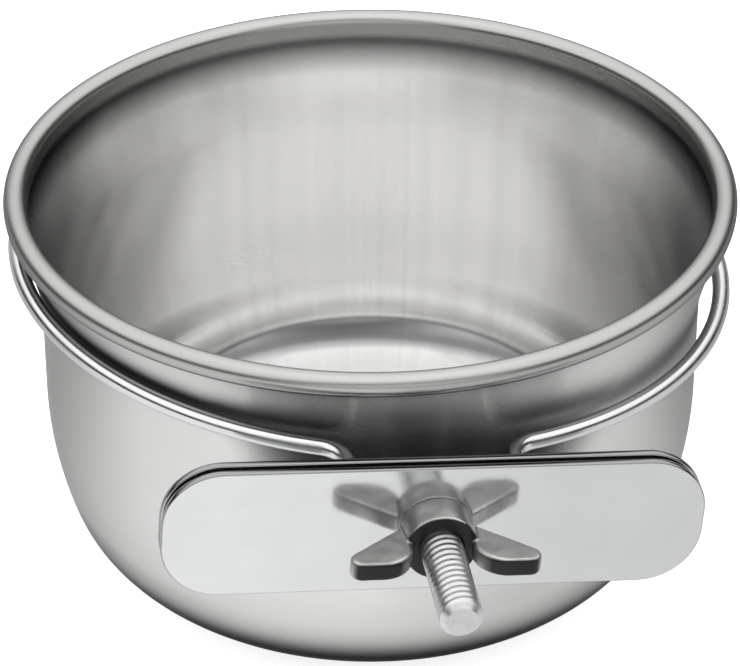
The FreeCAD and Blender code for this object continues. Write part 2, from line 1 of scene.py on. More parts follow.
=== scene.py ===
"""The looks of the bolt-on seed cup. Laid out as an add-on and run as a script.

Metres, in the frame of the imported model: the cup's foot is at the origin, +Z is
up and the clamp bolt points along -Y. The ring and the welds are drawn level about
the middle of the wire ring, the plates and the bolt about the bolt's line, and all
lean about the bolt's direction.
"""
import json
import math
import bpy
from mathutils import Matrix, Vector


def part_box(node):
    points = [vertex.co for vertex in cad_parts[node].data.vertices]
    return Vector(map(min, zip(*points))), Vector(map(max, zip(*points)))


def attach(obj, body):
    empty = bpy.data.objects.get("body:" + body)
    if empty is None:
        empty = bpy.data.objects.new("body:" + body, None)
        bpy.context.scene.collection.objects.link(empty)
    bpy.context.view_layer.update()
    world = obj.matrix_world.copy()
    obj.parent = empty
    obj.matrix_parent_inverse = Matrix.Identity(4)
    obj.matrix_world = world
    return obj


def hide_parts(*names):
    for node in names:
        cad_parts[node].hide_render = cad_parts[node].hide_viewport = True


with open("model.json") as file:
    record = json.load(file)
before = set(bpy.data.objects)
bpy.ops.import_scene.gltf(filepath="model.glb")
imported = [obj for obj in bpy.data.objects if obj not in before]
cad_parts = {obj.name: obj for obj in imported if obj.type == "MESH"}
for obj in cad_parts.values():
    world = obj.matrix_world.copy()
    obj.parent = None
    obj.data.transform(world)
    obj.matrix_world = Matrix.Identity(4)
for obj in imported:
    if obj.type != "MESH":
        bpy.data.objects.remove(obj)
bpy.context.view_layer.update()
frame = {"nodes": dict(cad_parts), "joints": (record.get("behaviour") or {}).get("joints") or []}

from types import SimpleNamespace

import bmesh
import bpy
from bpy.props import FloatProperty, FloatVectorProperty, IntProperty, PointerProperty
from mathutils import Matrix, Vector, noise

bl_info = {
    "name": "Seed cup looks",
    "version": (1, 0, 0),
    "blender": (4, 5, 0),
    "location": "3D View > Sidebar > Seed cup",
    "description": "Builds the visible pieces, finishes and stage of a bolt-on seed cup",
    "category": "Object",
}

MM = 0.001
JOINTS = {joint["name"]: joint for joint in frame["joints"]}
FULL = 2 * math.pi


# Sizes and colours a user would change

def length(name, text, value):
    """A size in millimetres as a property in metres."""
    return FloatProperty(name=name, description=text, default=value * MM, min=0,
                         subtype="DISTANCE", unit="LENGTH", precision=5)


def finish(name, text, value):
    """A share from 0 to 1."""
    return FloatProperty(name=name, description=text, default=value, min=0, max=1,
                         subtype="FACTOR")


def tint(name, text, value):
    """A linear colour."""
    return FloatVectorProperty(name=name, description=text, default=value, size=3,
                               min=0, max=1, subtype="COLOR")


class CupSettings(bpy.types.PropertyGroup):
    """The drawn cup."""
    sheet: length("Sheet", "Thickness of the drawn sheet", 0.7)
    bead: length("Rolled rim", "Width of the rolled rim", 3.7)
    bead_gap: FloatProperty(name="Roll gap", description="Part of the roll that stays open",
                            default=math.radians(60), subtype="ANGLE")
    neck_depth: length("Neck", "Rim top to the foot of the straight neck", 4.5)
    flare_height: length("Flare", "Height over which the wall widens", 16)
    flare_step: length("Flare step", "How far the neck stands out from the wall", 2.2)
    belly_height: length("Belly height", "Foot to the start of the straight wall", 30.3)
    belly: length("Belly radius", "Slow curve below the wall", 60)
    corner: length("Corner radius", "Tight curve into the foot", 17)
    segments: IntProperty(name="Segments", description="Facets round the cup", default=240)
    colour_in: tint("Inside", "Colour of the polished inside", (0.95, 0.945, 0.935))
    colour_out: tint("Outside", "Colour of the satin outside", (0.76, 0.755, 0.745))
    colour_rim: tint("Rim", "Colour of the rolled rim", (0.42, 0.42, 0.41))
    rough_in: finish("Inside roughness", "How matt the inside is", 0.23)
    rough_low: finish("Corner roughness", "How matt the inside is at its foot", 0.11)
    rough_rim: finish("Rim roughness", "How matt the rolled rim is", 0.28)
    rough_out: finish("Outside roughness", "How matt the outside is", 0.3)


class HolderSettings(bpy.types.PropertyGroup):
    """The ring, the back plate, the welds and the clamp plate."""
    lean: FloatProperty(name="Lean", description="Turn of the holder about the bolt",
                        default=math.radians(4.2), subtype="ANGLE")
    drop: length("Plate drop", "Ring wire to the middle of the plates", 7.5)
    wire: length("Wire", "Diameter of the ring wire", 2.8)
    leg_spacing: length("Leg spacing", "Between the two wire ends", 24.8)
    bend: length("Bend", "Radius of the bends at the wire ends", 5)
    plate_long: length("Plate length", "Both plates", 80.8)
    plate_tall: length("Plate height", "Both plates", 21.5)
    plate_corner: length("Plate corner", "Rounded corners of the plates", 9)
    plate_edge: length("Plate edge", "Broken edges of the plates", 0.3)
    colour: tint("Plating", "Colour of the ring and plates", (0.68, 0.69, 0.69))
    rough: finish("Roughness", "How matt the plates are", 0.12)
    rough_wire: finish("Wire roughness", "How matt the wire is", 0.22)


class ClampSettings(bpy.types.PropertyGroup):
    """The bolt and the wing nut."""
    diameter: length("Bolt", "Diameter over the thread", 6.35)
    pitch: length("Pitch", "Advance of the thread in one turn", 1.27)
    depth: length("Thread depth", "Crest to root", 0.1)
    bevel: length("Bevel", "Bevel at the bolt's tip", 0.9)
    hole: length("Hole", "Bolt hole in the clamp plate", 7)
    head: length("Head", "Diameter of the domed head", 14.4)
    head_rise: length("Head height", "Height of the domed head", 3.4)
    head_rim: length("Head rim", "Straight edge of the domed head", 0.6)
    colour: tint("Zinc", "Colour of the bolt's plating", (0.66, 0.665, 0.66))
    nut_colour: tint("Cast zinc", "Colour of the wing nut", (0.42, 0.42, 0.41))


class StageSettings(bpy.types.PropertyGroup):
    """The camera, the lamp and the surroundings."""
    eye: FloatVectorProperty(name="Camera", description="Place of the camera", size=3,
                             default=(-0.0752, -0.4799, 0.3524), subtype="TRANSLATION",
                             unit="LENGTH")
    yaw: FloatProperty(name="Yaw", description="Camera's turn about the upright",
                       default=math.radians(-8.9), subtype="ANGLE")
    pitch: FloatProperty(name="Pitch", description="How far the camera looks down",
                         default=math.radians(33.028), subtype="ANGLE")
    lens: FloatProperty(name="Lens", description="Focal length for a 36 mm sensor",
                        default=173.27, unit="CAMERA")
    top_light: FloatProperty(name="Top light", description="Soft light above the cup",
                             default=0.4, unit="POWER")
    ceiling: FloatProperty(name="Ceiling", description="Brightness of the ceiling", default=1.52)
    walls: FloatProperty(name="Walls", description="Brightness of the dark walls", default=0.03)
    paper: finish("Floor", "Grey level of the floor", 0.8)


GROUPS = {"seed_cup_body": CupSettings, "seed_cup_holder": HolderSettings,
          "seed_cup_clamp": ClampSettings, "seed_cup_stage": StageSettings}


# Shared helpers

def add_piece(name, mesh, material, body, nodes=(), smooth=30):
    """Link a mesh as a piece that rides on a body and may stand for CAD nodes."""
    piece = bpy.data.objects.new(name, mesh)
    bpy.context.scene.collection.objects.link(piece)
    mesh.materials.clear()
    mesh.materials.append(material)
    mesh.shade_smooth()
    mesh.set_sharp_from_angle(angle=math.radians(smooth))
    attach(piece, body)
    if nodes:
        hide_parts(*nodes)
    return piece


def evaluated(source):
    """The plain mesh of an object with its modifiers or curve settings; the object goes."""
    graph = bpy.context.evaluated_depsgraph_get()
    mesh = bpy.data.meshes.new_from_object(source.evaluated_get(graph))
    bpy.data.objects.remove(source)
    return mesh


def temporary(name, data):
    """An object that only lives until its mesh is taken."""
    made = bpy.data.objects.new(name, data)
    bpy.context.scene.collection.objects.link(made)
    bpy.context.view_layer.update()
    return made


def arc(centre, radius, first, last, steps):
    """Points along an arc, angles in degrees, both ends included."""
    points = []
    for step in range(steps + 1):
        angle = math.radians(first + (last - first) * step / steps)
        points.append((centre[0] + radius * math.cos(angle), centre[1] + radius * math.sin(angle)))
    return points


def add_loop(curve, points, closed):
    """A straight-sided spline of a curve through (x, y) points."""
    spline = curve.splines.new("POLY")
    spline.points.add(len(points) - 1)
    for point, (x, y) in zip(spline.points, points):
        point.co = (x, y, 0, 1)
    spline.use_cyclic_u = closed


def lathe(name, outline, segments, closed=False):
    """Turn an outline of (radius, height) points about Z."""
    made = bmesh.new()
    sheet = made.loops.layers.uv.new("turned")
    runs = [0.0]
    for before, after in zip(outline, outline[1:]):
        runs.append(runs[-1] + math.dist(before, after))
    rows, on_axis = [], 1e-7
    for radius, height in outline:
        if radius < on_axis:
            rows.append([made.verts.new((0, 0, height))])
            continue
        rows.append([made.verts.new((radius * math.cos(FULL * s / segments),
                                     radius * math.sin(FULL * s / segments), height))
                     for s in range(segments)])
    pairs = list(zip(range(len(rows)), range(1, len(rows))))
    if closed:
        pairs.append((len(rows) - 1, 0))
    for low, high in pairs:
        for s in range(segments):
            after = (s + 1) % segments
            ring = [(low, s, s), (low, after, s + 1), (high, after, s + 1), (high, s, s)]
            corners, seen = [], set()
            for row, column, place in ring:
                vertex = rows[row][column if len(rows[row]) > 1 else 0]
                if vertex not in seen:
                    seen.add(vertex)
                    corners.append((vertex, (place / segments, runs[row])))
            if len(corners) > 2:
                face = made.faces.new([corner[0] for corner in corners])
                for loop, corner in zip(face.loops, corners):
                    loop[sheet].uv = corner[1]
    bmesh.ops.recalc_face_normals(made, faces=made.faces)
    mesh = bpy.data.meshes.new(name)
    made.to_mesh(mesh)
    made.free()
    return mesh


def join_meshes(name, meshes):
    """Several meshes as one."""
    made = bmesh.new()
    for mesh in meshes:
        made.from_mesh(mesh)
        bpy.data.meshes.remove(mesh)
    joined = bpy.data.meshes.new(name)
    made.to_mesh(joined)
    made.free()
    return joined


def holder_matrix():
    """From the level holder, drawn about its ring, to where it hangs."""
    settings = bpy.context.scene.seed_cup_holder
    axle = JOINTS["nut_turn"]["pos_m"]
    level = axle[2] + settings.drop * math.cos(settings.lean)
    return Matrix.Translation((0, 0, level)) @ Matrix.Rotation(settings.lean, 4, "Y")


def along_bolt():
    """From a part turned about +Z to the same part about the bolt, pointing to -Y."""
    axle = JOINTS["nut_turn"]["pos_m"]
    lean = Matrix.Rotation(bpy.context.scene.seed_cup_holder.lean, 4, "Y")
    return Matrix.Translation((axle[0], 0, axle[2])) @ lean @ Matrix.Rotation(math.pi / 2, 4, "X")


def reach_of(node, side):
    """How far a CAD node reaches from the ring's axis along the bolt."""
    low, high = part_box(node)
    return -high.y if side == "near" else -low.y


# Node trees

class NodeWriter:
    """A short way to write a tree of nodes."""

    def __init__(self, tree):
        self.tree = tree

    def add(self, kind, links=None, **settings):
        """A node, its settings, and the sockets or values that it takes."""
        node = self.tree.nodes.new(kind)
        for key, value in settings.items():
            setattr(node, key, value)
        for socket, value in (links or {}).items():
            if isinstance(value, bpy.types.NodeSocket):
                self.tree.links.new(value, node.inputs[socket])
            else:
                node.inputs[socket].default_value = value
        return node

    def math(self, operation, *values):
        return self.add("ShaderNodeMath", dict(enumerate(values)),
                        operation=operation).outputs["Value"]

    def split(self, vector):
        """The X, Y and Z of a vector."""
        return self.add("ShaderNodeSeparateXYZ", {"Vector": vector}).outputs

    def range(self, value, low, high, first=0.0, last=1.0, shape="LINEAR"):
        """From low, where the value is first, to high, where it is last."""
        return self.add("ShaderNodeMapRange", {"Value": value, "From Min": first,
                                               "From Max": last, "To Min": low, "To Max": high},
                        interpolation_type=shape).outputs["Result"]

    def rise(self, value, band):
        """From 0 to 1 as the value crosses a band."""
        return self.range(value, 0.0, 1.0, *band)

    def fall(self, value, band):
        """From 1 to 0 as the value crosses a band."""
        return self.range(value, 1.0, 0.0, *band)

    def between(self, share, first, second):
        """One number at share 0 and another at share 1."""
        return self.add("ShaderNodeMix", {"Factor": share, "A": first, "B": second}
                        ).outputs["Result"]

    def mixed(self, share, first, second, how="MIX"):
        """One colour at share 0 and another at share 1. Each is a socket or a colour."""
        ends = {socket: end if isinstance(end, bpy.types.NodeSocket) else (*end, 1)
                for socket, end in (("A", first), ("B", second))}
        return self.add("ShaderNodeMix", {"Factor": share, **ends}, data_type="RGBA",
                        blend_type=how).outputs["Result"]

    def grey(self, level):
        return self.add("ShaderNodeCombineColor", {"Red": level, "Green": level, "Blue": level}
                        ).outputs["Color"]

    def seen_by(self, kinds, lit, seen):
        """The shader that lights the object, or the one that rays of these kinds see."""
        path = self.add("ShaderNodeLightPath").outputs
        either = path[kinds[0]]
        for kind in kinds[1:]:
            either = self.math("MAXIMUM", either, path[kind])
        return self.add("ShaderNodeMixShader", {0: either, 1: lit, 2: seen}).outputs[0]


# Finishes

def scaled(colour, share):
    return tuple(channel * share for channel in colour)


class Finish(NodeWriter):
    """A procedural metal: colour, roughness and relief from noise in object space.

    The plain colour and roughness stand in where an exporter can't follow the nodes.
    """

    def __init__(self, name, colour, rough):
        self.material = bpy.data.materials.new(name)
        self.material.use_nodes = True
        super().__init__(self.material.node_tree)
        self.shader = self.tree.nodes["Principled BSDF"]
        self.set("Metallic", 1.0)
        self.set("Base Color", (*colour, 1))
        self.set("Roughness", rough)
        coordinates = self.add("ShaderNodeTexCoord").outputs
        self.place = coordinates["Object"]
        self.facing = coordinates["Normal"]

    def set(self, socket, value):
        self.shader.inputs[socket].default_value = value

    def plug(self, socket, output):
        self.tree.links.new(output, self.shader.inputs[socket])

    def noise(self, scale, stretch=(1, 1, 1), detail=3.0, rough=0.55):
        """Noise with its own scale along each axis."""
        mapped = self.add("ShaderNodeMapping", {"Vector": self.place, "Scale": stretch})
        return self.add("ShaderNodeTexNoise", {"Vector": mapped.outputs["Vector"],
                                               "Scale": scale, "Detail": detail,
                                               "Roughness": rough}).outputs["Fac"]

    def noise_along(self, way, scale, detail, rough):
        """Noise along one number, such as a length or an angle."""
        return self.add("ShaderNodeTexNoise", {"W": way, "Scale": scale, "Detail": detail,
                                               "Roughness": rough},
                        noise_dimensions="1D").outputs["Fac"]

    def relief(self, height, strength, distance):
        """Bump on top of any earlier bump."""
        links = {"Height": height, "Strength": strength, "Distance": distance}
        earlier = self.shader.inputs["Normal"].links
        if earlier:
            links["Normal"] = earlier[0].from_socket
        self.plug("Normal", self.add("ShaderNodeBump", links).outputs["Normal"])

    def with_painted_shade(self, colour, reach, closed, clear):
        """Paint shade into a colour: darker in the hollows and beside other pieces within a reach.
        """
        around = self.add("ShaderNodeAmbientOcclusion", {"Distance": reach}, samples=12)
        light = self.range(around.outputs["AO"], 0.05, 1.0, closed, clear)
        return self.mixed(1.0, colour, self.grey(light), "MULTIPLY")


# Where noise turns from one look to the other
SOFT_NOISE = (0.3, 0.7)
SHARP_NOISE = (0.35, 0.65)
PATCH_NOISE = (0.35, 0.7)

# How far a surface faces along Y where a plate's cut edge ends and where the painted shade on the
# nut's faces that look to -Y begins
CUT_EDGE = (0.85, 0.99)
NUT_SHADED_FRONT = (-0.35, -0.85)

# Heights above the cup's foot, and distances from its axis, where its inside changes: its finish,
# and the painted shade in its corner
WALL_START = (12 * MM, 17 * MM)
CORNER_END = (12 * MM, 16 * MM)
FOOT_END = (30 * MM, 36 * MM)
CORNER_FADE = (3 * MM, 10 * MM)
DARK_BAND_START = (4.6 * MM, 6 * MM)
DARK_BAND_END = (6.6 * MM, 10.5 * MM)


def cup_regions(steel):
    """Shares, from 0 to 1, of each region of the cup that has a look of its own."""
    settings = bpy.context.scene.seed_cup_body
    along = steel.split(steel.place)
    height = along["Z"]
    flat = steel.add("ShaderNodeVectorMath", {0: steel.place, 1: (1, 1, 0)},
                     operation="MULTIPLY").outputs["Vector"]
    radius = steel.add("ShaderNodeVectorMath", {0: flat}, operation="LENGTH").outputs["Value"]
    normal = steel.add("ShaderNodeNewGeometry").outputs["Normal"]
    outward = steel.add("ShaderNodeVectorMath", {0: normal, 1: steel.place},
                        operation="DOT_PRODUCT").outputs["Value"]
    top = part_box("seed_cup")[1].z
    angle = steel.math("ARCTAN2", along["Y"], along["X"])
    streaks = steel.noise_along(angle, scale=14.0, detail=5.0, rough=0.7)
    # The lines follow the wall's height, and lie a little further apart across the floor
    floor_share = 0.8
    run = steel.math("ADD", steel.math("MULTIPLY", radius, floor_share), height)
    return SimpleNamespace(
        outside=steel.rise(outward, (-2 * MM, 2 * MM)),
        wall=steel.rise(height, WALL_START),
        rim=steel.rise(height, (top - 1.2 * settings.bead, top - 0.9 * settings.bead)),
        # Painted shadow under the rolled rim, by height below the rim's top
        painted_rim_shadow=steel.rise(height, (top - 10.5 * MM, top - 5 * MM)),
        # Painted shade in the inside's corner, between the floor and the wall
        corner=steel.math("MULTIPLY", steel.fall(height, CORNER_END),
                          steel.rise(radius, FOOT_END)),
        deeper_corner_shade=steel.fall(height, CORNER_FADE),
        # A painted dark band low in the corner, which stands in for shade
        painted_dark_band=steel.math("MULTIPLY", steel.rise(height, DARK_BAND_START),
                        steel.fall(height, DARK_BAND_END)),
        streaked=steel.rise(streaks, SHARP_NOISE),
        lines=steel.noise_along(run, scale=2600.0, detail=4.0, rough=0.6))


def cup_colour(steel, region):
    """The steel's colour: streaked inside, with painted shade in the corner, a painted dark band
    low in the corner, a painted shadow under the rim, and painted shade beside other pieces.
    """
    settings = bpy.context.scene.seed_cup_body
    polished = settings.colour_in
    streak_grey, streak_share = (0.3,) * 3, 0.15
    # The painted dark band's grey and how strongly it shows
    dark_band_grey, dark_band_share = (0.1,) * 3, 0.85
    inside = steel.mixed(region.streaked, polished, scaled(polished, 0.95))
    # Painted shade in the corner, darker towards the foot
    corner = steel.mixed(region.deeper_corner_shade, scaled(polished, 0.72), scaled(polished, 0.46))
    streak = steel.math("MULTIPLY", region.streaked, streak_share)
    corner = steel.mixed(streak, corner, streak_grey)
    painted_dark_band = steel.math("MULTIPLY", region.painted_dark_band, dark_band_share)
    corner = steel.mixed(painted_dark_band, corner, dark_band_grey)
    inside = steel.mixed(region.corner, inside, corner)
    # Painted shadow under the rolled rim, on the inside
    inside = steel.mixed(region.painted_rim_shadow, inside, scaled(polished, 0.13))
    skin = steel.mixed(region.outside, inside, settings.colour_out)
    skin = steel.mixed(region.rim, skin, settings.colour_rim)
    # Painted shade from ambient occlusion, with its own range on the inside and on the outside
    closed = steel.range(region.outside, 0.38, 0.47)
    clear = steel.range(region.outside, 0.78, 0.8)
    return steel.with_painted_shade(skin, 18 * MM, closed, clear)


def turned_steel():
    """Spun sheet: polished inside, satin outside, with fine lines round the axis."""
    settings = bpy.context.scene.seed_cup_body
    steel = Finish("turned_steel", settings.colour_in, settings.rough_in)
    region = cup_regions(steel)
    steel.plug("Base Color", cup_colour(steel, region))
    edge_in, edge_out = (0.22,) * 3, (0.45,) * 3
    steel.plug("Specular Tint", steel.mixed(region.outside, edge_in, edge_out))

    base = steel.range(region.wall, settings.rough_low, settings.rough_in)
    base = steel.between(region.outside, base, settings.rough_out)
    base = steel.between(region.rim, base, settings.rough_rim)
    cloud = steel.noise(38.0, detail=4.0)
    rough = steel.math("ADD", base, steel.range(region.lines, -0.01, 0.01, *SOFT_NOISE))
    rough = steel.math("ADD", rough, steel.range(cloud, -0.02, 0.04, *SOFT_NOISE))
    steel.plug("Roughness", rough)

    drawn = steel.math("SUBTRACT", steel.range(region.wall, 0.2, 1.0), region.rim)
    steel.plug("Anisotropic", steel.add("ShaderNodeClamp", {"Value": drawn}).outputs["Result"])
    steel.set("Anisotropic Rotation", 0.25)
    steel.plug("Tangent", steel.add("ShaderNodeTangent", direction_type="RADIAL",
                                    axis="Z").outputs["Tangent"])
    waves = steel.noise(14.0, stretch=(1, 1, 1.6), detail=2.0)
    steel.relief(region.lines, strength=0.005, distance=0.02 * MM)
    steel.relief(waves, strength=0.08, distance=0.4 * MM)
    return steel.material


def bright_plate(name, rough, grain=(60, 900, 900), edge=0.4):
    """Polished plating: faint lines and waves, dull patches, and darker cut edges."""
    colour = bpy.context.scene.seed_cup_holder.colour
    plate = Finish(name, colour, rough)
    lines = plate.noise(1.0, grain)
    patches = plate.noise(90.0, detail=4.0)
    dull = plate.math("ADD", plate.range(lines, -0.02, 0.03, *SHARP_NOISE),
                      plate.range(patches, -0.02, 0.05, *PATCH_NOISE))
    plate.plug("Roughness", plate.math("ADD", rough, dull))
    skin = plate.mixed(patches, colour, scaled(colour, 0.88))
    if edge < 1:
        across = plate.math("ABSOLUTE", plate.split(plate.facing)["Y"])
        skin = plate.mixed(plate.fall(across, CUT_EDGE), skin, scaled(colour, edge))
    plate.plug("Base Color", skin)
    waves = plate.noise(45.0, detail=2.0)
    plate.relief(lines, strength=0.05, distance=0.03 * MM)
    plate.relief(waves, strength=0.15, distance=0.2 * MM)
    return plate.material


def bolt_zinc():
    """Bright zinc on a rolled thread, spotted as it wears."""
    colour = bpy.context.scene.seed_cup_clamp.colour
    zinc = Finish("bolt_zinc", colour, rough=0.22)
    spots = zinc.noise(700.0, detail=5.0)
    zinc.plug("Roughness", zinc.range(spots, 0.26, 0.44, *SOFT_NOISE))
    zinc.plug("Base Color", zinc.mixed(spots, colour, scaled(colour, 0.78)))
    zinc.relief(zinc.noise(1500.0), strength=0.12, distance=0.06 * MM)
    return zinc.material


def cast_zinc():
    """Cast metal with a fine orange peel, worn in patches, and painted shade on the faces that
    look to -Y.
    """
    colour = bpy.context.scene.seed_cup_clamp.nut_colour
    cast = Finish("cast_zinc", colour, rough=0.38)
    grain = cast.noise(1100.0, detail=5.0)
    worn = cast.noise(160.0, detail=4.0)
    # Painted shade: the nut's faces that look to -Y go nearly black
    front = cast.rise(cast.split(cast.facing)["Y"], NUT_SHADED_FRONT)
    skin = cast.mixed(cast.rise(worn, SHARP_NOISE), scaled(colour, 1.35), scaled(colour, 0.65))
    cast.plug("Base Color", cast.mixed(front, skin, scaled(colour, 0.08)))
    cast.plug("Roughness", cast.range(worn, 0.24, 0.44, *SOFT_NOISE))
    cast.relief(grain, strength=0.25, distance=0.08 * MM)
    cast.relief(worn, strength=0.3, distance=0.4 * MM)
    return cast.material


def weld_metal():
    """Plated weld: rippled and a little dark."""
    plain, bright, dark = (0.46, 0.45, 0.43), (0.5, 0.49, 0.47), (0.25, 0.24, 0.23)
    weld = Finish("weld_metal", plain, rough=0.3)
    ripple = weld.noise(900.0, detail=4.0)
    weld.plug("Roughness", weld.range(ripple, 0.22, 0.5, *SOFT_NOISE))
    weld.plug("Base Color", weld.mixed(ripple, bright, dark))
    weld.relief(ripple, strength=0.5, distance=0.2 * MM)
    return weld.material


# The pieces

class SEEDCUP_OT_cup(bpy.types.Operator):
    """Spin the drawn cup with its rolled rim"""
    bl_idname = "seedcup.cup"
    bl_label = "Cup"

    def execute(self, context):
        settings = context.scene.seed_cup_body
        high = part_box("seed_cup")[1]
        rim, top = high.x, high.z
        half = settings.bead / 2
        roll = (rim - half, top - half)
        neck = rim - settings.bead + settings.sheet
        wall = neck - settings.flare_step
        arc_radius = (settings.flare_height ** 2 + settings.flare_step ** 2) \
            / (4 * settings.flare_step)
        sway = math.degrees(math.asin(settings.flare_height / 2 / arc_radius))
        turn = math.degrees(math.asin((settings.belly_height - settings.corner)
                                      / (settings.belly - settings.corner)))
        foot = wall - settings.belly \
            + (settings.belly - settings.corner) * math.cos(math.radians(turn))
        flare_top = top - settings.neck_depth
        flare_low = flare_top - settings.flare_height
        bend_steps, inner_roll_steps, outer_roll_steps = 18, 40, 60

        def skin(inset):
            """The wall from the foot's middle up to the neck, moved in by inset."""
            line = [(foot * share, inset) for share in (0, 0.25, 0.5, 0.75)]
            line += arc((foot, settings.corner), settings.corner - inset, -90, -turn, bend_steps)
            line += arc((wall - settings.belly, settings.belly_height),
                        settings.belly - inset, -turn, 0, bend_steps)[1:]
            line += [(wall - inset, settings.belly_height
                      + (flare_low - settings.belly_height) * share) for share in (0.33, 0.67)]
            line += arc((wall + arc_radius, flare_low), arc_radius + inset, 180, 180 - sway,
                        bend_steps // 2)
            line += arc((neck - arc_radius, flare_top), arc_radius - inset, -sway, 0,
                        bend_steps // 2)[1:]
            return line

        last = -180 + math.degrees(settings.bead_gap)
        outline = skin(0)
        outline += arc(roll, half - settings.sheet, 180, last, inner_roll_steps)
        outline += arc(roll, half, last, 180, outer_roll_steps)
        outline += list(reversed(skin(settings.sheet)))
        mesh = lathe("cup", outline, settings.segments)
        add_piece("cup", mesh, turned_steel(), "cup", ["seed_cup"])
        return {"FINISHED"}


class SEEDCUP_OT_ring(bpy.types.Operator):
    """Bend the ring wire"""
    bl_idname = "seedcup.ring"
    bl_label = "Wire ring"

    def execute(self, context):
        settings = context.scene.seed_cup_holder
        low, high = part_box("holder_ring")
        ring = high.y - settings.wire / 2
        back = -low.y
        leg, bend = settings.leg_spacing / 2, settings.bend
        aside = leg + bend
        ahead = math.sqrt((ring + bend) ** 2 - aside ** 2)
        opening = math.degrees(math.asin(aside / (ring + bend)))
        bend_steps, hoop_steps = 12, 220
        half = [(leg, -back), (leg, -back + 0.5 * (back - ahead))]
        half += arc((aside, -ahead), bend, 180, 90 + opening, bend_steps)
        hoop = arc((0, 0), ring, -90 + opening, 270 - opening, hoop_steps)
        route = half + hoop[1:-1] + [(-x, y) for x, y in reversed(half)]
        curve = bpy.data.curves.new("wire", "CURVE")
        curve.dimensions = "3D"
        add_loop(curve, route, closed=False)
        curve.bevel_depth = settings.wire / 2
        curve.bevel_resolution = 8
        curve.use_fill_caps = True
        mesh = evaluated(temporary("wire", curve))
        mesh.name = "ring_wire"
        mesh.transform(holder_matrix())
        material = bright_plate("ring_plating", settings.rough_wire, (400, 400, 400), 1)
        add_piece("ring_wire", mesh, material, "holder", ["holder_ring"], 50)
        return {"FINISHED"}


def plate_mesh(name, near, far, hole):
    """A flat bar with rounded corners, broken edges and a hole, between two reaches."""
    settings = bpy.context.scene.seed_cup_holder
    wide, tall = settings.plate_long / 2, settings.plate_tall / 2
    corner, edge = settings.plate_corner, settings.plate_edge
    curve = bpy.data.curves.new(name, "CURVE")
    curve.dimensions = "2D"
    curve.fill_mode = "BOTH"
    outline, steps = [], 24
    for x, y, start in ((1, 1, 0), (-1, 1, 90), (-1, -1, 180), (1, -1, 270)):
        middle = (x * (wide - corner), y * (tall - corner))
        outline += arc(middle, corner, start, start + 90, steps)
    for points in (outline, hole):
        add_loop(curve, points, closed=True)
    curve.extrude = (far - near) / 2 - edge
    curve.bevel_depth = edge
    curve.bevel_resolution = 3
    curve.offset = -edge
    mesh = evaluated(temporary(name, curve))
    mesh.transform(along_bolt() @ Matrix.Translation((0, 0, (near + far) / 2)))
    return mesh


class SEEDCUP_OT_plates(bpy.types.Operator):
    """Cut the back plate and the clamp plate"""
    bl_idname = "seedcup.plates"
    bl_label = "Plates"

    def execute(self, context):
        settings = context.scene.seed_cup_holder
        clamp = context.scene.seed_cup_clamp
        neck_play = 0.1 * MM
        half = clamp.diameter / 2 + neck_play
        square = [(half, half), (-half, half), (-half, -half), (half, -half)]
        steps = 72
        round_hole = arc((0, 0), clamp.hole / 2, 0, 360 - 360 / steps, steps - 1)
        for node, body, hole, plating in (
                ("back_plate", "holder", square, "back_plating"),
                ("clamp_plate", "clamp", round_hole, "clamp_plating")):
            name = node + "_sheet"
            mesh = plate_mesh(name, reach_of(node, "near"), reach_of(node, "far"), hole)
            add_piece(name, mesh, bright_plate(plating, settings.rough), body, [node])
        return {"FINISHED"}


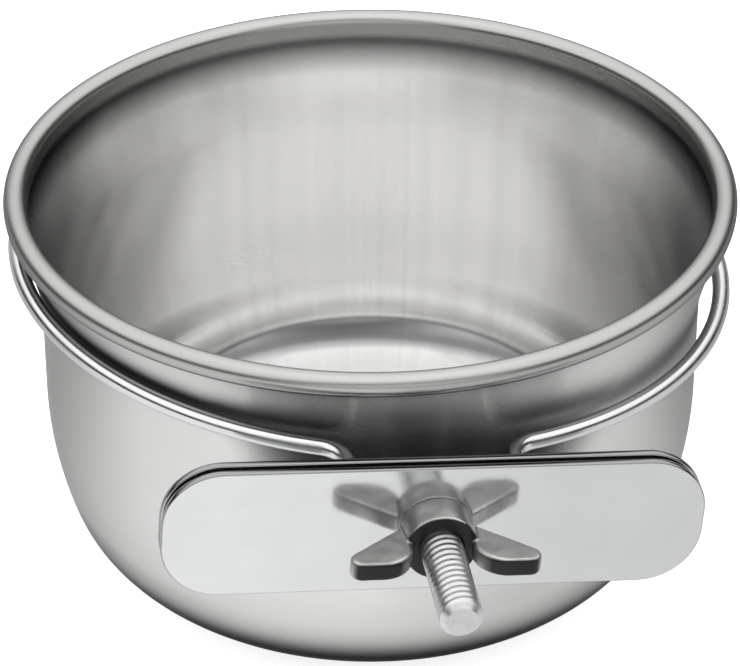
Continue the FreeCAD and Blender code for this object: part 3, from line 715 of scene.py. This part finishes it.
def thread_nodes():
    """A threaded shank: a rolled-up grid whose radius follows the helix."""
    group = bpy.data.node_groups.new("threaded_shank", "GeometryNodeTree")
    for label in ("Diameter", "Pitch", "Depth", "Length", "Bevel"):
        group.interface.new_socket(label, in_out="INPUT", socket_type="NodeSocketFloat")
    group.interface.new_socket("Material", in_out="INPUT", socket_type="NodeSocketMaterial")
    group.interface.new_socket("Mesh", in_out="OUTPUT", socket_type="NodeSocketGeometry")
    nodes = NodeWriter(group)
    given, math_node = nodes.add("NodeGroupInput").outputs, nodes.math
    columns, rows = 73, 460
    grid = nodes.add("GeometryNodeMeshGrid", {"Size X": 1.0, "Size Y": 1.0,
                                              "Vertices X": columns, "Vertices Y": rows})
    place = nodes.split(nodes.add("GeometryNodeInputPosition").outputs["Position"])
    turn = math_node("ADD", place["X"], 0.5)
    share = math_node("ADD", place["Y"], 0.5)
    end_face = 0.02
    walk = math_node("MULTIPLY", share, 1 + end_face)
    along = math_node("MULTIPLY", math_node("MINIMUM", walk, 1.0), given["Length"])
    turned = math_node("SUBTRACT", math_node("DIVIDE", along, given["Pitch"]), turn)
    phase = math_node("FRACT", turned)
    tooth = math_node("ABSOLUTE", math_node("SUBTRACT", math_node("MULTIPLY", phase, 2.0), 1.0))
    # Steeper than a plain zigzag and then cut off, which leaves the crest and the root flat
    steepness, cut_off = 1.3, 0.15
    tooth = nodes.add("ShaderNodeClamp", {"Value": math_node(
        "SUBTRACT", math_node("MULTIPLY", tooth, steepness), cut_off)}).outputs["Result"]
    crest = math_node("MULTIPLY", given["Diameter"], 0.5)
    groove = math_node("MULTIPLY", math_node("SUBTRACT", 1.0, tooth), given["Depth"])
    threaded = math_node("SUBTRACT", crest, groove)
    to_tip = math_node("SUBTRACT", given["Length"], along)
    cone = math_node("ADD", math_node("SUBTRACT", crest, given["Bevel"]), to_tip)
    radius = math_node("MINIMUM", threaded, cone)
    closing = nodes.add("ShaderNodeClamp", {"Value": math_node(
        "DIVIDE", math_node("SUBTRACT", 1 + end_face, walk), end_face)}).outputs["Result"]
    radius = math_node("MULTIPLY", radius, closing)
    angle = math_node("MULTIPLY", turn, FULL)
    moved = nodes.add("ShaderNodeCombineXYZ", {
        "X": math_node("MULTIPLY", radius, math_node("COSINE", angle)),
        "Y": math_node("MULTIPLY", radius, math_node("SINE", angle)), "Z": along})
    shaped = nodes.add("GeometryNodeSetPosition", {"Geometry": grid.outputs["Mesh"],
                                                   "Position": moved.outputs["Vector"]})
    merged = nodes.add("GeometryNodeMergeByDistance", {"Geometry": shaped.outputs["Geometry"],
                                                       "Distance": 0.001 * MM})
    dressed = nodes.add("GeometryNodeSetMaterial", {"Geometry": merged.outputs["Geometry"],
                                                    "Material": given["Material"]})
    nodes.add("NodeGroupOutput", {"Mesh": dressed.outputs["Geometry"]})
    return group


class SEEDCUP_OT_bolt(bpy.types.Operator):
    """Make the carriage bolt with its rolled thread"""
    bl_idname = "seedcup.bolt"
    bl_label = "Bolt"

    def execute(self, context):
        clamp = context.scene.seed_cup_clamp
        near, far = reach_of("back_plate", "near"), reach_of("back_plate", "far")
        material = bolt_zinc()
        meshes = [self.shank(clamp, far, material), self.dome(clamp, near),
                  self.neck(clamp, near, far)]
        mesh = join_meshes("bolt", meshes)
        mesh.transform(along_bolt())
        add_piece("bolt", mesh, material, "holder", ["clamp_bolt"], 40)
        return {"FINISHED"}

    def shank(self, clamp, start, material):
        """The thread, from the back plate's front to the tip."""
        group = thread_nodes()
        host = temporary("thread", bpy.data.meshes.new("thread"))
        modifier = host.modifiers.new("thread", "NODES")
        modifier.node_group = group
        values = {"Diameter": clamp.diameter, "Pitch": clamp.pitch, "Depth": clamp.depth,
                  "Length": reach_of("clamp_bolt", "far") - start, "Bevel": clamp.bevel,
                  "Material": material}
        for item in group.interface.items_tree:
            if item.in_out == "INPUT":
                modifier[item.identifier] = values[item.name]
        mesh = evaluated(host)
        mesh.transform(Matrix.Translation((0, 0, start)))
        return mesh

    def dome(self, clamp, seat):
        """The domed head, with its flat side on the back plate."""
        cap = clamp.head_rise - clamp.head_rim
        head = clamp.head / 2
        dome = (head ** 2 + cap ** 2) / (2 * cap)
        spread = math.degrees(math.asin(head / dome))
        edge, steps, segments = 0.15 * MM, 20, 72
        outline = arc((0, seat - clamp.head_rise + dome), dome, -90, -90 + spread, steps)
        outline[0] = (0, outline[0][1])
        outline += [(head, seat - edge), (head - edge, seat), (0, seat)]
        return lathe("head", outline, segments)

    def neck(self, clamp, near, far):
        """The square neck in the back plate."""
        made = bmesh.new()
        bmesh.ops.create_cube(made, size=1)
        bmesh.ops.scale(made, vec=(clamp.diameter, clamp.diameter, far - near), verts=made.verts)
        upright = [edge for edge in made.edges
                   if abs(edge.verts[0].co.z - edge.verts[1].co.z) > 0.5 * MM]
        bmesh.ops.bevel(made, geom=upright, offset=0.35 * MM, segments=3, affect="EDGES")
        bmesh.ops.translate(made, vec=(0, 0, (near + far) / 2), verts=made.verts)
        mesh = bpy.data.meshes.new("neck")
        made.to_mesh(mesh)
        made.free()
        return mesh


class SEEDCUP_OT_nut(bpy.types.Operator):
    """Cast the wing nut: the machined form with softened edges"""
    bl_idname = "seedcup.nut"
    bl_label = "Wing nut"

    def execute(self, context):
        host = temporary("nut_form", frame["nodes"]["wing_nut"].data.copy())
        remesh = host.modifiers.new("skin", "REMESH")
        remesh.mode = "VOXEL"
        remesh.voxel_size = 0.2 * MM
        soft = host.modifiers.new("soft", "SMOOTH")
        soft.factor = 0.5
        soft.iterations = 6
        mesh = evaluated(host)
        mesh.name = "nut"
        bump_scale, bump_height = 420, 0.04
        bumps = [vertex.normal * noise.noise(vertex.co * bump_scale) * bump_height * MM
                 for vertex in mesh.vertices]
        for vertex, bump in zip(mesh.vertices, bumps):
            vertex.co += bump
        add_piece("nut", mesh, cast_zinc(), "nut", ["wing_nut"], 180)
        return {"FINISHED"}


class SEEDCUP_OT_welds(bpy.types.Operator):
    """Run the weld beads round the wire ends"""
    bl_idname = "seedcup.welds"
    bl_label = "Welds"

    def execute(self, context):
        settings = context.scene.seed_cup_holder
        back = reach_of("back_plate", "near")
        wire = settings.wire / 2
        bore = wire * 0.9
        size = back - reach_of("ring_welds", "near")
        segments, lump_scale, lump_height = 64, 900, 0.12 * MM
        beads = []
        for side in (-1, 1):
            outline = [(bore, 0), (bore, size)]
            outline += [(wire + size * (1 - math.cos(t)), size * (1 - math.sin(t)))
                        for t in (math.radians(angle) for angle in range(0, 91, 9))]
            bead = lathe("bead", outline, segments, closed=True)
            for vertex in bead.vertices:
                x, y, z = vertex.co
                lump = noise.noise(Vector((x, y, z * 0.5 + side)) * lump_scale)
                if math.hypot(x, y) > wire:
                    vertex.co.z = max(0.0, z + lump * lump_height)
            bead.transform(Matrix.Translation((side * settings.leg_spacing / 2, -back, 0))
                           @ Matrix.Rotation(-math.pi / 2, 4, "X"))
            beads.append(bead)
        mesh = join_meshes("weld_beads", beads)
        mesh.transform(holder_matrix())
        add_piece("weld_beads", mesh, weld_metal(), "holder", ["ring_welds"], 60)
        return {"FINISHED"}


# The stage

# Where the surroundings change, by the height (Z) or the depth (Y) of a direction
CEILING_EDGE = (0.26, 0.5)
BEHIND_CAMERA = (-0.85, -0.55)
FORE_AND_AFT = (0.7, 0.95)
HORIZON_EDGE = (-0.05, 0.1)


def studio_world(settings):
    """White for the camera; for the metal, dark walls, a bright ceiling and horizon."""
    world = bpy.data.worlds.new("studio")
    bpy.context.scene.world = world
    world.use_nodes = True
    world.node_tree.nodes.clear()
    sky = NodeWriter(world.node_tree)
    way = sky.split(sky.add("ShaderNodeTexCoord").outputs["Generated"])
    height = way["Z"]
    ceiling = sky.range(height, settings.walls, settings.ceiling, *CEILING_EDGE, "SMOOTHSTEP")
    dimmed = sky.range(way["Y"], 0.25, 1.0, *BEHIND_CAMERA, "SMOOTHSTEP")
    ends = sky.range(sky.math("ABSOLUTE", way["Y"]), 0.0, 1.0, *FORE_AND_AFT, "SMOOTHSTEP")
    above = sky.range(height, 0.0, 1.0, *HORIZON_EDGE, "SMOOTHSTEP")
    glow = sky.math("MAXIMUM", sky.math("MULTIPLY", ceiling, dimmed),
                    sky.math("MULTIPLY", ends, above))
    studio = sky.add("ShaderNodeBackground", {"Color": sky.grey(glow), "Strength": 1.0})
    white = sky.add("ShaderNodeBackground", {"Color": (1, 1, 1, 1), "Strength": 1.0})
    seen = sky.seen_by(("Is Camera Ray", "Is Transmission Ray"), studio.outputs[0],
                       white.outputs[0])
    sky.add("ShaderNodeOutputWorld", {"Surface": seen})


def floor_paper(settings):
    """White for the camera with the cup's shadow; for the metal, a glow in place of the lit floor,
    brightest in front, with a painted shadow round the cup and painted dimming to the right and to
    the back.
    """
    material = bpy.data.materials.new("floor_white")
    material.use_nodes = True
    material.node_tree.nodes.clear()
    paper = NodeWriter(material.node_tree)
    level = settings.paper
    diffuse = paper.add("ShaderNodeBsdfDiffuse", {"Color": (level, level, level, 1)}).outputs[0]
    place = paper.add("ShaderNodeTexCoord").outputs["Object"]
    away = paper.add("ShaderNodeVectorMath", {0: place}, operation="LENGTH").outputs["Value"]
    # Painted shadow round the cup: the glow that the metal sees is weaker near the cup
    painted_shadow_near_cup, open_floor = 0.4, 1.2
    strength = paper.range(away, painted_shadow_near_cup, open_floor, 42 * MM, 70 * MM, "SMOOTHSTEP")
    # Painted dimming of that glow to the right and to the back
    for axis, start, end, dimmed in (("X", -30, 40, 0.78), ("Y", -60, 60, 0.55)):
        side = paper.range(paper.split(place)[axis], 1.0, dimmed, start * MM, end * MM,
                           "SMOOTHSTEP")
        strength = paper.math("MULTIPLY", strength, side)
    painted_floor_light = paper.add("ShaderNodeEmission", {"Strength": strength}).outputs[0]
    glow = paper.add("ShaderNodeEmission", {"Strength": level}).outputs[0]
    white = paper.add("ShaderNodeAddShader", {0: diffuse, 1: glow}).outputs[0]
    metal = paper.seen_by(("Is Glossy Ray",), diffuse, painted_floor_light)
    seen = paper.seen_by(("Is Camera Ray", "Is Transmission Ray"), metal, white)
    paper.add("ShaderNodeOutputMaterial", {"Surface": seen})
    return material


def white_floor(settings):
    """A flat sheet far wider than the cup."""
    made = bmesh.new()
    bmesh.ops.create_grid(made, x_segments=1, y_segments=1, size=1.5)
    mesh = bpy.data.meshes.new("floor")
    made.to_mesh(mesh)
    made.free()
    mesh.materials.append(floor_paper(settings))
    floor = bpy.data.objects.new("floor", mesh)
    bpy.context.scene.collection.objects.link(floor)


def area_light(name, place, target, side, power):
    """A square soft box that looks at a point."""
    lamp = bpy.data.lights.new(name, "AREA")
    lamp.shape = "RECTANGLE"
    lamp.size = lamp.size_y = side
    lamp.energy = power
    holder = bpy.data.objects.new(name, lamp)
    bpy.context.scene.collection.objects.link(holder)
    turn = (Vector(place) - Vector(target)).to_track_quat("Z", "Y").to_matrix().to_4x4()
    holder.matrix_world = Matrix.Translation(place) @ turn


class SEEDCUP_OT_stage(bpy.types.Operator):
    """Set the camera, the lamp, the floor and the world"""
    bl_idname = "seedcup.stage"
    bl_label = "Stage"

    def execute(self, context):
        settings = context.scene.seed_cup_stage
        camera = bpy.data.objects.new("camera", bpy.data.cameras.new("camera"))
        camera.data.lens = settings.lens
        camera.data.sensor_width = 36
        camera.data.clip_start = 0.01
        context.scene.collection.objects.link(camera)
        camera.matrix_world = Matrix.Translation(settings.eye) \
            @ Matrix.Rotation(settings.yaw, 4, "Z") \
            @ Matrix.Rotation(math.pi / 2 - settings.pitch, 4, "X")
        context.scene.camera = camera
        context.scene.view_settings.view_transform = "Standard"
        studio_world(settings)
        white_floor(settings)
        area_light("top_softbox", place=(0, -0.05, 0.9), target=(0, 0, 0.03), side=0.7,
                   power=settings.top_light)
        return {"FINISHED"}


class SEEDCUP_PT_panel(bpy.types.Panel):
    """Lists the pieces of the seed cup"""
    bl_idname = "SEEDCUP_PT_panel"
    bl_label = "Seed cup"
    bl_space_type = "VIEW_3D"
    bl_region_type = "UI"
    bl_category = "Seed cup"

    def draw(self, context):
        for operator in OPERATORS:
            self.layout.operator(operator.bl_idname)
        for group in GROUPS:
            box = self.layout.box()
            settings = getattr(context.scene, group)
            for name in settings.bl_rna.properties.keys():
                if name not in ("rna_type", "name"):
                    box.prop(settings, name)


OPERATORS = (SEEDCUP_OT_cup, SEEDCUP_OT_ring, SEEDCUP_OT_plates, SEEDCUP_OT_bolt,
             SEEDCUP_OT_nut, SEEDCUP_OT_welds, SEEDCUP_OT_stage)


def register():
    for kind in (*GROUPS.values(), *OPERATORS, SEEDCUP_PT_panel):
        bpy.utils.register_class(kind)
    for name, kind in GROUPS.items():
        setattr(bpy.types.Scene, name, PointerProperty(type=kind))


def unregister():
    for name in GROUPS:
        delattr(bpy.types.Scene, name)
    for kind in (SEEDCUP_PT_panel, *reversed(OPERATORS), *reversed(GROUPS.values())):
        bpy.utils.unregister_class(kind)


def main():
    register()
    for operator in OPERATORS:
        group, name = operator.bl_idname.split(".")
        getattr(getattr(bpy.ops, group), name)()


if __name__ == "__main__":
    main()
